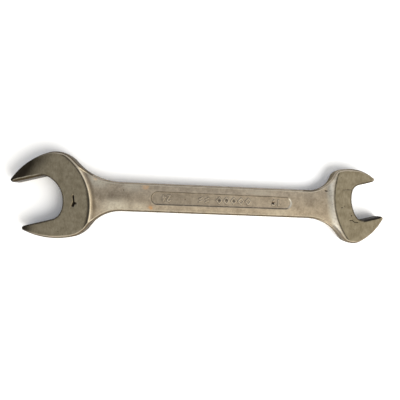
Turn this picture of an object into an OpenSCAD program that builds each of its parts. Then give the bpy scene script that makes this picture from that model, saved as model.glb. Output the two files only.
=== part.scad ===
// Double open-ended spanner: one forging, drawn as its two heads and the handle between them.
// X runs along the handle from the large jaw to the small one, Y across it and Z up.
// The origin is under the middle of the spanner, on the surface that it lies on.
// In a head's own plane, u points out of the jaw's mouth and v to the left of u.
// The full side of a head is v < 0, where the horn is the heavier one; the slim side is v > 0.

/* [Overall] */
// Length over the two horn tips
overall_l = 204.5; // [170:0.5:300]
// Angle of both jaws to the handle
jaw_angle = 15; // [10:1:20]
// Play between a nut's flats and the jaw faces
jaw_clearance = 0.2; // [0.1:0.05:0.4]
// Largest turn between two points along a curved edge
arc_step = 4; // [2:1:8]

/* [Large jaw] */
// Nut size across flats that the large jaw takes
large_af = 24; // [22:1:27]
// Thickness of the large head
large_t = 10.5; // [9:0.1:13]
// From the seat line out to the horn tips
large_reach = 21.2; // [17:0.1:25]
// Radius of the horn tips
large_tip_r = 1.4; // [0.8:0.1:2]
// Metal beside the jaw, from the jaw face to the full shoulder's edge
large_full_wall = 11.9; // [10:0.1:15]
// Metal beside the jaw, from the jaw face to the slim shoulder's edge
large_slim_wall = 11.9; // [10:0.1:15]
// Radius of the full shoulder
large_full_r = 13.4; // [10:0.1:15]
// Radius of the slim shoulder
large_slim_r = 13.9; // [10:0.1:15]
// How far the full shoulder's centre is behind the seat line
large_full_back = 3.0; // [1:0.1:6]
// How far the slim shoulder's centre is behind the seat line
large_slim_back = 4.6; // [1:0.1:7]
// Angle at which the full flank leaves its shoulder
large_full_flank = 87.2; // [80:0.1:100]
// Angle at which the slim flank leaves its shoulder
large_slim_flank = 88.4; // [80:0.1:100]
// Radius of the arc that closes the head towards the handle
large_back_r = 36; // [30:0.5:45]
// Depth of the seat behind the seat line
large_seat_depth = 4.1; // [2:0.1:6]
// Radius of the seat
large_seat_r = 15; // [12.5:0.1:20]
// Offset of the seat's middle towards the slim side
large_seat_off = 0.5; // [-2:0.1:2]
// Radius of the seat's corner on the full side
large_full_corner = 4.8; // [2:0.1:7]
// Radius of the seat's corner on the slim side
large_slim_corner = 6.9; // [2:0.1:8]
// Offset of the large jaw's centre line from the handle's, at the seat line
large_jaw_y = -1.0; // [-3:0.1:3]

/* [Small jaw] */
// Nut size across flats that the small jaw takes
small_af = 19; // [17:1:21]
// Thickness of the small head
small_t = 9.5; // [8:0.1:12]
// From the seat line out to the horn tips
small_reach = 13.4; // [11:0.1:17]
// Radius of the horn tips
small_tip_r = 1.4; // [0.8:0.1:2]
// Metal beside the jaw, from the jaw face to the full shoulder's edge
small_full_wall = 11.7; // [9:0.1:14]
// Metal beside the jaw, from the jaw face to the slim shoulder's edge
small_slim_wall = 10.7; // [9:0.1:14]
// Radius of the full shoulder
small_full_r = 8.0; // [6:0.1:10]
// Radius of the slim shoulder
small_slim_r = 5.6; // [4:0.1:8]
// How far the full shoulder's centre is behind the seat line
small_full_back = 4.0; // [2:0.1:6]
// How far the slim shoulder's centre is behind the seat line
small_slim_back = 3.6; // [2:0.1:6]
// Angle at which the full flank leaves its shoulder
small_full_flank = 76.4; // [70:0.1:90]
// Angle at which the slim flank leaves its shoulder
small_slim_flank = 90; // [80:0.1:100]
// Radius of the arc that closes the head towards the handle
small_back_r = 42.5; // [36:0.5:50]
// Depth of the seat behind the seat line
small_seat_depth = 1.8; // [0.5:0.1:4]
// Radius of the seat
small_seat_r = 17.9; // [14:0.1:22]
// Offset of the seat's middle towards the slim side
small_seat_off = -1.1; // [-2:0.1:2]
// Radius of the seat's corner on the full side
small_full_corner = 3.5; // [1.5:0.1:5]
// Radius of the seat's corner on the slim side
small_slim_corner = 4.6; // [1.5:0.1:6]
// Offset of the small jaw's centre line from the handle's, at the seat line
small_jaw_y = 1.1; // [-3:0.1:3]

/* [Handle] */
// Width of the handle at the large head
handle_w_large = 16.4; // [14:0.1:19]
// Width of the handle at the small head
handle_w_small = 15.6; // [13:0.1:18]
// Thickness along the middle of the handle
handle_t = 7.0; // [6:0.1:9]
// Thickness along the edges of the handle and of the necks
handle_edge_t = 5.0; // [4:0.1:6]
// Radius of the neck on the large head's full side
large_full_neck = 35; // [20:0.5:45]
// Radius of the neck on the large head's slim side
large_slim_neck = 21.5; // [15:0.5:35]
// Radius of the neck on the small head's full side
small_full_neck = 22.5; // [15:0.5:35]
// Radius of the neck on the small head's slim side
small_slim_neck = 14; // [10:0.5:25]
// Radius of the cove where a head rises from the handle
cove_r = 2.6; // [1:0.1:4]
// Least height of the upright lip between a head's face and its cove
cove_lip = 0.8; // [0.3:0.1:1.5]

/* [Panel] */
// Length of the sunk panel
panel_l = 77.5; // [50:0.5:90]
// Width of the panel at its end near the large head
panel_w_large = 7.4; // [5:0.1:9]
// Width of the panel at its end near the small head
panel_w_small = 6.7; // [5:0.1:9]
// Depth of the panel below the middle of the handle
panel_depth = 0.6; // [0.3:0.05:0.8]
// How far the panel's middle is from the spanner's, towards the small head
panel_x = 12.8; // [-20:0.1:20]

/* [Marks] */
// Height of the size marks' figures
mark_h = 3.8; // [2.5:0.1:5]
// Width of one figure
mark_w = 2.1; // [1.5:0.1:3]
// Width of the strokes
mark_stroke = 0.6; // [0.4:0.05:0.9]
// How far the marks stand up from the panel's floor
mark_rise = 0.3; // [0.1:0.05:0.3]
// From a size mark's middle to the end of the panel that it stands at
mark_inset = 8.5; // [5:0.1:14]

/* [Hidden] */
STEEL = "#8b8474";
PLATED = "#a89e90";
FULL = -1;
SLIM = 1;
// Extra length of a cutting or a trimming solid past the metal
PAST = 1;
// Sides that a full back circle is drawn with; the circle touches them from inside
BACK_SIDES = 120;
// How deep a cove's foot is buried in the handle
FOOT = 0.1;
// A cove's slope at the head's wall, in degrees
COVE_STEEP = 70;
// Flats that a cove's section is drawn with
COVE_FACETS = 6;
mid_z = large_t / 2;
// Height of the upper panel's floor
floor_z = mid_z + handle_t / 2 - panel_depth;

// A head's sizes in one list. Each pair in it holds the full side's value, then the slim side's.
function jaw_w(h) = h[0];
function reach(h) = h[1];
function tip_r(h) = h[2];
function wall(h, s) = h[3][s == FULL ? 0 : 1];
function shoulder_r(h, s) = h[4][s == FULL ? 0 : 1];
function shoulder_back(h, s) = h[5][s == FULL ? 0 : 1];
function flank_angle(h, s) = h[6][s == FULL ? 0 : 1];
function back_r(h) = h[7];
function seat_depth(h) = h[8];
function seat_r(h) = h[9];
function seat_off(h) = h[10];
function corner_r(h, s) = h[11][s == FULL ? 0 : 1];

LARGE = [
    large_af + jaw_clearance,
    large_reach,
    large_tip_r,
    [large_full_wall, large_slim_wall],
    [large_full_r, large_slim_r],
    [large_full_back, large_slim_back],
    [large_full_flank, large_slim_flank],
    large_back_r,
    large_seat_depth,
    large_seat_r,
    large_seat_off,
    [large_full_corner, large_slim_corner]
];
SMALL = [
    small_af + jaw_clearance,
    small_reach,
    small_tip_r,
    [small_full_wall, small_slim_wall],
    [small_full_r, small_slim_r],
    [small_full_back, small_slim_back],
    [small_full_flank, small_slim_flank],
    small_back_r,
    small_seat_depth,
    small_seat_r,
    small_seat_off,
    [small_full_corner, small_slim_corner]
];

// Points and arcs
function unit(a) = [cos(a), sin(a)];
function bearing(c, p) = atan2(p.y - c.y, p.x - c.x);
function turn(a0, a1) = (a1 - a0 + 540) % 360 - 180;
function arc(c, p, q) =
    let (a = bearing(c, p), sweep = turn(a, bearing(c, q)), n = max(1, ceil(abs(sweep) / arc_step)))
    [for (i = [0:n]) c + norm(p - c) * unit(a + sweep * i / n)];
function placed(p, at, a) = at + [p.x * cos(a) - p.y * sin(a), p.x * sin(a) + p.y * cos(a)];
function all_placed(points, at, a) = [for (p = points) placed(p, at, a)];

// Centres in a head's own plane
function shoulder(h, s) = [-shoulder_back(h, s), s * (jaw_w(h) / 2 + wall(h, s) - shoulder_r(h, s))];
function tip(h, s) = [reach(h) - tip_r(h), s * (jaw_w(h) / 2 + tip_r(h))];
function seat(h) = [seat_r(h) - seat_depth(h), seat_off(h)];
function corner(h, s) =
    let (v = s * (jaw_w(h) / 2 - corner_r(h, s)), k = seat_r(h) - corner_r(h, s), c = seat(h))
    [c.x - sqrt(k * k - (v - c.y) * (v - c.y)), v];

// The flank is the arc that touches the shoulder at its leaving angle and also touches the tip
function flank_dir(h, s) = [cos(flank_angle(h, s)), s * sin(flank_angle(h, s))];
function flank_shift(h, s) =
    let (w = tip(h, s) - shoulder(h, s), k = shoulder_r(h, s) - tip_r(h))
    (w * w - k * k) / (2 * (w * flank_dir(h, s) - k));
function flank(h, s) = shoulder(h, s) + flank_shift(h, s) * flank_dir(h, s);
function flank_start(h, s) = shoulder(h, s) + shoulder_r(h, s) * flank_dir(h, s);
function flank_end(h, s) =
    let (f = shoulder_r(h, s) - flank_shift(h, s), o = flank(h, s))
    o + (tip(h, s) - o) * f / (f - tip_r(h));

// The back arc touches both shoulders from outside
function back(h) =
    let (
        a = shoulder(h, FULL),
        b = shoulder(h, SLIM),
        ra = back_r(h) - shoulder_r(h, FULL),
        rb = back_r(h) - shoulder_r(h, SLIM),
        along = (ra * ra - rb * rb + (b - a) * (b - a)) / (2 * norm(b - a)),
        e = (b - a) / norm(b - a)
    )
    a + e * along + [e.y, -e.x] * sqrt(ra * ra - along * along);

// Half of a head's edge, from its shoulder round the tip and along the jaw face to the seat
function half_edge(h, s) =
    let (
        t = tip(h, s),
        k = corner(h, s),
        c = seat(h),
        face = s * jaw_w(h) / 2,
        seat_end = c + (k - c) * seat_r(h) / norm(k - c)
    )
    concat(
        arc(flank(h, s), flank_start(h, s), flank_end(h, s)),
        arc(t, flank_end(h, s), [t.x, face]),
        arc(k, [k.x, face], seat_end)
    );
function reversed(points) = [for (i = [len(points) - 1:-1:0]) points[i]];
function head_edge(h) =
    let (slim = half_edge(h, SLIM), full = half_edge(h, FULL))
    concat(slim, arc(seat(h), slim[len(slim) - 1], full[len(full) - 1]), reversed(full));

// Places of the two heads. The horn on the full side reaches furthest along X.
function head_extent(h) =
    cos(jaw_angle) * tip(h, FULL).x - sin(jaw_angle) * tip(h, FULL).y + tip_r(h);
large_a = 180 + jaw_angle;
small_a = jaw_angle;
large_at = [head_extent(LARGE) - overall_l / 2, large_jaw_y];
small_at = [overall_l / 2 - head_extent(SMALL), small_jaw_y];
large_back_at = placed(back(LARGE), large_at, large_a);
small_back_at = placed(back(SMALL), small_at, small_a);

// A neck is an arc that touches a shoulder and the handle's edge. The edge runs from its point e0 to
// e1, towards the head, and side is 1 where the neck's centre is to the left of it.
function neck(c, r, e0, e1, side, neck_r) =
    let (
        d = (e1 - e0) / norm(e1 - e0),
        out = side * [-d.y, d.x],
        q = e0 + out * neck_r,
        w = c - q,
        along = w * d - sqrt((r + neck_r) * (r + neck_r) - (w * w - (w * d) * (w * d)))
    )
    q + d * along;
function on_edge(n, e0, e1) =
    let (d = (e1 - e0) / norm(e1 - e0))
    e0 + d * ((n - e0) * d);
function on_shoulder(n, c, r) = c + (n - c) * r / norm(n - c);
function neck_arc(c, r, e0, e1, side, neck_r) =
    let (n = neck(c, r, e0, e1, side, neck_r))
    arc(n, on_edge(n, e0, e1), on_shoulder(n, c, r));

// The handle's edges, from under the large head to under the small one
edge_x = [large_at.x, small_at.x];
function edge_point(i, s) = [edge_x[i], s * (i == 0 ? handle_w_large : handle_w_small) / 2];
function head_shoulder(h, s, at, a) = placed(shoulder(h, s), at, a);
function neck_from(h, s, at, a, i, y, side, r) =
    neck_arc(head_shoulder(h, s, at, a), shoulder_r(h, s), edge_point(1 - i, y), edge_point(i, y), side, r);

large_points = all_placed(head_edge(LARGE), large_at, large_a);
small_points = all_placed(head_edge(SMALL), small_at, small_a);
large_top_neck = neck_from(LARGE, FULL, large_at, large_a, 0, 1, -1, large_full_neck);
large_low_neck = neck_from(LARGE, SLIM, large_at, large_a, 0, -1, 1, large_slim_neck);
small_top_neck = neck_from(SMALL, SLIM, small_at, small_a, 1, 1, 1, small_slim_neck);
small_low_neck = neck_from(SMALL, FULL, small_at, small_a, 1, -1, -1, small_full_neck);
function last(points) = points[len(points) - 1];

// The edge of the whole spanner, seen from above
outline = concat(
    large_points,
    arc(head_shoulder(LARGE, FULL, large_at, large_a), last(large_points), last(large_top_neck)),
    reversed(large_top_neck),
    small_top_neck,
    arc(head_shoulder(SMALL, SLIM, small_at, small_a), last(small_top_neck), small_points[0]),
    small_points,
    arc(head_shoulder(SMALL, FULL, small_at, small_a), last(small_points), last(small_low_neck)),
    reversed(small_low_neck),
    large_low_neck,
    arc(head_shoulder(LARGE, SLIM, large_at, large_a), last(large_low_neck), large_points[0])
);

// A flat slab of the given thickness about the spanner's middle plane
module slab(t) {
    translate([0, 0, mid_z - t / 2]) {
        linear_extrude(t) children();
    }
}

module back_disc(h, at) {
    r = back_r(h) / cos(180 / BACK_SIDES);
    polygon([for (i = [0:BACK_SIDES - 1]) at + r * unit((i + 0.5) * 360 / BACK_SIDES)]);
}

// A cove's section, from the head's wall down to its foot below the surface that it runs out on. It is
// steepest at the wall, at COVE_STEEP degrees, and the wall stands above it as an upright lip.
function cove_points(r, head_t) =
    let (
        foot = handle_edge_t / 2 - FOOT,
        top = head_t / 2 - cove_lip,
        steep = min(COVE_STEEP, acos(max(0, 1 - (top - foot) / cove_r))),
        c = [r + cove_r * sin(steep), foot + cove_r]
    )
    [
        for (i = [0:COVE_FACETS])
            let (a = steep * (1 - i / COVE_FACETS))
            c - cove_r * [sin(a), cos(a)]
    ];

// The ring that fills the corner between a head and the handle with a cove
module cove_ring(h, at, head_t) {
    points = cove_points(back_r(h), head_t);
    upper = concat([[back_r(h) - PAST, points[0].y]], points);
    translate([at.x, at.y, mid_z]) {
        rotate_extrude($fn = 180) {
            polygon(concat(upper, reversed([for (p = upper) [p.x, -p.y]])));
        }
    }
}

// A slot with round ends of two sizes, for the panel
function pill(l, w0, w1) =
    let (
        r0 = w0 / 2,
        r1 = w1 / 2,
        c0 = [r0 - l / 2, 0],
        c1 = [l / 2 - r1, 0],
        lean = acos((r0 - r1) / (c1.x - c0.x)),
        end0 = c0 - [r0, 0],
        end1 = c1 + [r1, 0]
    )
    concat(
        arc(c0, c0 + r0 * unit(lean), end0),
        arc(c0, end0, c0 + r0 * unit(-lean)),
        arc(c1, c1 + r1 * unit(-lean), end1),
        arc(c1, end1, c1 + r1 * unit(lean))
    );

// One face's share of the crowned bar's section: a disc whose edge is the crown
module crown(side) {
    half_w = min(handle_w_large, handle_w_small) / 2;
    drop = (handle_t - handle_edge_t) / 2;
    crown_r = (half_w * half_w + drop * drop) / (2 * drop);
    translate([0, side * (handle_t / 2 - crown_r)]) circle(r = crown_r, $fn = 180);
}

// The handle's crowned middle, with a panel sunk in each face
module crowned_bar() {
    difference() {
        translate([large_at.x, 0, mid_z]) rotate([90, 0, 90]) {
            linear_extrude(small_at.x - large_at.x) intersection() {
                crown(1);
                crown(-1);
            }
        }
        translate([panel_x, 0, floor_z]) {
            linear_extrude(PAST) polygon(pill(panel_l, panel_w_large, panel_w_small));
        }
        translate([panel_x, 0, 2 * mid_z - floor_z - PAST]) {
            linear_extrude(PAST) polygon(pill(panel_l, panel_w_large, panel_w_small));
        }
    }
}

// Figures of the size marks, each in a box mark_w wide and mark_h high
module stroke(p, q) {
    d = (q - p) / norm(q - p);
    n = [-d.y, d.x] * mark_stroke / 2;
    polygon([p - n, q - n, q + n, p + n]);
}

module loop_stroke(c, r) {
    translate(c) difference() {
        circle(r = r + mark_stroke / 2, $fn = 48);
        circle(r = r - mark_stroke / 2, $fn = 48);
    }
}

module figure_1() {
    stroke([mark_w / 2, 0], [mark_w / 2, mark_h]);
    stroke([mark_w / 2, mark_h - mark_stroke / 2], [mark_w * 0.15, mark_h - mark_w * 0.5]);
}

module figure_9() {
    r = (mark_w - mark_stroke) / 2;
    loop_stroke([mark_w / 2, mark_h - mark_w / 2], r);
    stroke([mark_w - mark_stroke / 2, mark_h - mark_w / 2], [mark_w * 0.35, 0]);
}

module figure_2() {
    r = (mark_w - mark_stroke) / 2;
    intersection() {
        loop_stroke([mark_w / 2, mark_h - mark_w / 2], r);
        translate([-mark_w, mark_h - mark_w / 2]) square([3 * mark_w, mark_w]);
    }
    stroke([mark_w - mark_stroke / 2, mark_h - mark_w / 2], [mark_stroke / 2, mark_stroke / 2]);
    square([mark_w, mark_stroke]);
}

module figure_4() {
    stroke([mark_w * 0.75, 0], [mark_w * 0.75, mark_h]);
    stroke([mark_w * 0.7, mark_h - mark_stroke / 2], [mark_stroke / 2, mark_h * 0.3]);
    translate([0, mark_h * 0.3 - mark_stroke / 2]) square([mark_w, mark_stroke]);
}

// A size mark of two figures, read from the far side of the handle
module size_mark(x) {
    pitch = mark_w + mark_stroke;
    translate([x, 0]) rotate(180) {
        translate([-pitch / 2 - mark_w / 2, -mark_h / 2]) children(0);
        translate([pitch / 2 - mark_w / 2, -mark_h / 2]) children(1);
    }
}

module large_head() {
    color(STEEL) slab(large_t) {
        intersection() {
            polygon(outline);
            back_disc(LARGE, large_back_at);
        }
    }
}

module small_head() {
    color(STEEL) slab(small_t) {
        intersection() {
            polygon(outline);
            back_disc(SMALL, small_back_at);
        }
    }
}

// All of the metal outside the two back arcs, as a prism as high as the large head
module between_heads() {
    slab(large_t + PAST) difference() {
        polygon(outline);
        back_disc(LARGE, large_back_at);
        back_disc(SMALL, small_back_at);
    }
}

module handle() {
    color(PLATED) {
        intersection() {
            union() {
                slab(handle_edge_t) square(overall_l, center = true);
                crowned_bar();
                cove_ring(LARGE, large_back_at, large_t);
                cove_ring(SMALL, small_back_at, small_t);
            }
            between_heads();
        }
        translate([0, 0, floor_z]) linear_extrude(mark_rise) {
            size_mark(panel_x - panel_l / 2 + mark_inset) {
                figure_2();
                figure_4();
            }
            size_mark(panel_x + panel_l / 2 - mark_inset) {
                figure_1();
                figure_9();
            }
        }
    }
}

large_head();
handle();
small_head();
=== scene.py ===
"""Double open-ended spanner: the visual model of one plated forging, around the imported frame.

X runs along the handle from the large jaw to the small one, Y across it and Z up, as in the frame.
Design sizes are in millimetres and turned to metres where a mesh is made. In a head's own plane, u
points out of the jaw's mouth and v to the left of u; the full side is v < 0 and the slim side v > 0.
"""

import sys
import logging
import math
from dataclasses import dataclass, field
from enum import Enum, IntEnum

import bpy
import numpy as np
from mathutils import Matrix, Vector, noise
from mathutils.geometry import delaunay_2d_cdt


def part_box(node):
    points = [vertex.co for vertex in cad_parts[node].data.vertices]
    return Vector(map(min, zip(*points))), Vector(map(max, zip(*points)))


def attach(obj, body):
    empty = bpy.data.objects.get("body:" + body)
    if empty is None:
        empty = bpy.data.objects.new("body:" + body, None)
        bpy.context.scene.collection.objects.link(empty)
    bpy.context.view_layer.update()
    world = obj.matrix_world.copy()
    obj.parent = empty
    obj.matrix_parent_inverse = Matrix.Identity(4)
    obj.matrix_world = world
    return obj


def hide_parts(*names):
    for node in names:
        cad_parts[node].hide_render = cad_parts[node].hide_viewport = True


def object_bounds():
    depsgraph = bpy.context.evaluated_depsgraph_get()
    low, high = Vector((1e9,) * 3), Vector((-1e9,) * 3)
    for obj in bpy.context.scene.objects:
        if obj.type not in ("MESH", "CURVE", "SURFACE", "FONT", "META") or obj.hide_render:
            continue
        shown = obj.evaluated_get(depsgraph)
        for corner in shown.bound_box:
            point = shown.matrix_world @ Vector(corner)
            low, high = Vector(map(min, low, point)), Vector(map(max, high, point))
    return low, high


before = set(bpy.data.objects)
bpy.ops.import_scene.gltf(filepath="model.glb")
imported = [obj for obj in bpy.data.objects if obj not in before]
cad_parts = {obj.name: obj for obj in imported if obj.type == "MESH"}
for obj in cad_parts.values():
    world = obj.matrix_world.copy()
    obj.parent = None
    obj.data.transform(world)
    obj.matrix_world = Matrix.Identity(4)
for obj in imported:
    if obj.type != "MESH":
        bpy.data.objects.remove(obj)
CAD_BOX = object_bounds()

LOG = logging.getLogger("spanner")
MM = 0.001
Points = np.ndarray
Box = tuple[float, float, float, float]
# Points that are handled at once where each meets every side of an outline.
CHUNK = 2000
# Keeps a division by a zero length from failing.
TINY = 1e-12
# A distance that stands for far away.
FAR = 9.0
# A stroke's distance is only worked out this near to it.
STROKE_REACH = 4.0
# Points of the outline nearer than this are one point.
SAME_POINT = 0.02
# How far the heads' middle lines are turned from the handle's, in degrees.
LEAN = 15.0
# Half the thickness of the trimmed flash along the middle of the sides.
FLASH_HALF_T = 0.42
# Where the rounding of an edge has its rings, in degrees from the side.
ROUNDING = (11.0, 23.0, 35.0, 46.0, 56.0, 66.0, 75.0, 83.0)


class Side(IntEnum):
    """Which side of a head's jaw something is on, as the sign of v."""

    FULL = -1
    SLIM = 1


class Edge(Enum):
    """How a stretch of the outline was made, which decides how its edge is broken."""

    FORGED = "forged"
    TIP = "tip"
    JAW = "jaw"
    # The bright bevel carries a painted highlight and the dark bevel painted shade.
    BRIGHT_BEVEL = "bright bevel"
    DARK_BEVEL = "dark bevel"

    def is_jaw(self) -> bool:
        """Whether the edge is on the jaw's own faces."""
        return self in (Edge.JAW, Edge.BRIGHT_BEVEL, Edge.DARK_BEVEL)


@dataclass(frozen=True)
class Break:
    """How an edge is broken.

    Attributes:
        soft: Width of the rounding, seen from above.
        drop: Height of the rounding, seen from the side.
        flash: How far the side stands back from the flash.
        draft: How far the side leans in above that.
        wear_and_sheen: How bright the rounding is, by real rubbing and by a painted highlight along the
            rounded edge.
        dirt_and_shade: How dark the edge is, by old oil and, on the dark bevel, by painted shade.
    """

    soft: float
    drop: float
    flash: float
    draft: float
    wear_and_sheen: float
    dirt_and_shade: float


# Rounded edges get a painted highlight, the bright bevel most of all; the dark bevel's edge is painted shade.
BREAKS = {
    Edge.FORGED: Break(1.45, 0.9, 0.1, 0.08, 0.85, 0.0),
    Edge.TIP: Break(1.0, 0.8, 0.06, 0.04, 0.2, 0.5),
    Edge.JAW: Break(0.9, 0.5, 0.0, 0.0, 0.05, 0.45),
    Edge.BRIGHT_BEVEL: Break(1.7, 0.7, 0.0, 0.0, 0.6, 0.0),
    Edge.DARK_BEVEL: Break(1.3, 1.6, 0.0, 0.0, 0.0, 1.0),
}


class Skin(IntEnum):
    """Material slots of the forging."""

    FACE = 0
    PLATE = 1
    FLANK = 2
    JAW = 3


# ---------------------------------------------------------------- plane geometry


def unit(angle: float) -> Points:
    """The unit vector at an angle in radians."""
    return np.array([math.cos(angle), math.sin(angle)])


def length(vector: Points) -> float:
    """The length of a vector."""
    return float(np.hypot(vector[0], vector[1]))


def smooth(values: Points, low: float, high: float) -> Points:
    """0 below low, 1 above high and a smooth step between them."""
    t = np.clip((values - low) / (high - low), 0.0, 1.0)
    return t * t * (3.0 - 2.0 * t)


def bump(values: Points, middle: float, half: float) -> Points:
    """A smooth bump of height 1 about middle that is 0 from half away on."""
    return 1.0 - smooth(np.abs(values - middle), 0.0, half)


def arc(centre: Points, start: Points, end: Points, step: float) -> Points:
    """Points on the short arc from start to end.

    Args:
        centre: The arc's centre.
        start: Its first point, which gives the radius.
        end: A point in the direction that it ends at.
        step: The largest distance between two points.

    Returns:
        The points, both ends included.
    """
    a0 = math.atan2(start[1] - centre[1], start[0] - centre[0])
    a1 = math.atan2(end[1] - centre[1], end[0] - centre[0])
    sweep = (a1 - a0 + math.pi) % (2.0 * math.pi) - math.pi
    radius = length(start - centre)
    count = max(2, math.ceil(abs(sweep) * radius / step))
    angles = a0 + sweep * np.linspace(0.0, 1.0, count + 1)
    return centre + radius * np.c_[np.cos(angles), np.sin(angles)]


def placed(points: Points, at: Points, angle: float) -> Points:
    """Points of a head's own plane in the plane of the frame."""
    c, s = math.cos(angle), math.sin(angle)
    return np.asarray(points) @ np.array([[c, s], [-s, c]]) + at


def segment_distance(points: Points, a: Points, b: Points) -> Points:
    """How far points are from a segment.

    Args:
        points: The points.
        a: The segment's first end.
        b: Its other end.

    Returns:
        One distance for each point.
    """
    d = b - a
    t = np.clip(((points - a) @ d) / max(float(d @ d), TINY), 0.0, 1.0)
    off = points - a - t[:, None] * d
    return np.hypot(off[:, 0], off[:, 1])


def polygon_distance(points: Points, polygon: Points) -> Points:
    """Signed distance to a closed polygon.

    Args:
        points: The points.
        polygon: The polygon's corners in order.

    Returns:
        One distance for each point, negative inside the polygon.
    """
    a = polygon
    b = np.roll(polygon, -1, axis=0)
    out = np.empty(len(points))
    for first in range(0, len(points), CHUNK):
        p = points[first:first + CHUNK, None, :]
        d = b - a
        t = np.clip(((p - a) * d).sum(2) / np.maximum((d * d).sum(1), TINY), 0.0, 1.0)
        gap = p - a - t[..., None] * d
        near = np.sqrt((gap * gap).sum(2).min(1))
        y = p[..., 1]
        crosses = (a[:, 1] > y) != (b[:, 1] > y)
        rise = np.where(b[:, 1] == a[:, 1], TINY, b[:, 1] - a[:, 1])
        x = a[:, 0] + (y - a[:, 1]) * (b[:, 0] - a[:, 0]) / rise
        inside = (crosses & (p[..., 0] < x)).sum(1) % 2 == 1
        out[first:first + CHUNK] = np.where(inside, -near, near)
    return out


def waves(points: Points, size: float, seed: float, octaves: int = 2) -> Points:
    """Even noise of about -1 to 1 over the plane, with lumps of the given size in millimetres."""
    return np.array([
        noise.fractal(Vector((x / size, y / size, seed)), 0.8, 2.0, octaves) for x, y in points
    ])


def net(box: Box, pitch: float) -> Points:
    """A staggered net of points over a box.

    Args:
        box: The box, as x0, x1, y0, y1.
        pitch: The distance between points.

    Returns:
        The net's points.
    """
    x0, x1, y0, y1 = box
    rows = []
    for i, y in enumerate(np.arange(y0, y1, pitch * 0.866)):
        xs = np.arange(x0 + (i % 2) * pitch / 2, x1, pitch)
        rows.append(np.c_[xs, np.full(len(xs), y)])
    return np.vstack(rows)


def in_box(points: Points, box: Box, margin: float = 0.0) -> Points:
    """Whether each point lies in a box that is grown by a margin."""
    (x, y), (x0, x1, y0, y1) = points.T, box
    return (x > x0 - margin) & (x < x1 + margin) & (y > y0 - margin) & (y < y1 + margin)


# ---------------------------------------------------------------- the two heads


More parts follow.
